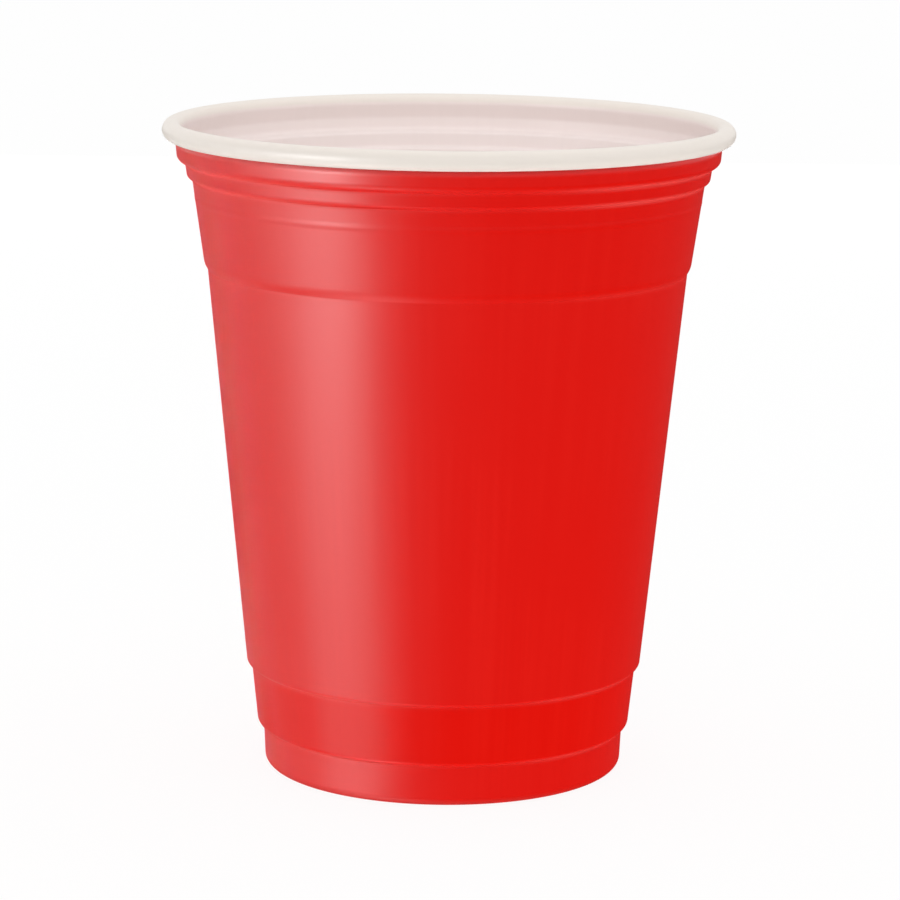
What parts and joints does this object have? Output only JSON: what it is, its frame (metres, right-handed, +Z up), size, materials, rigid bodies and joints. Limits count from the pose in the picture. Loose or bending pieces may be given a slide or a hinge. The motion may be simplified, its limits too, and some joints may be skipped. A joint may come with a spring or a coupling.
{
  "type": "plastic party cup",
  "caption": "Tapered drinking cup of thin thermoformed plastic, red outside and white inside, with a rolled rim, stepped stacking rings near the top and a stepped foot.",
  "frame": {"origin": "centre of the foot ring, on the surface that the cup stands on", "axes": "+Z up along the cup's axis, from the foot to the rim; X and Y are free, since the cup is round"},
  "size_m": [0.0952, 0.0952, 0.1094],
  "materials": {
    "cup_sheet": "semi-gloss thermoformed polystyrene sheet, red outside; its other face, inside the cup and round the rolled rim, is off-white"
  },
  "bodies": {
    "root": {"cup": "cup_sheet"}
  },
  "joints": []
}
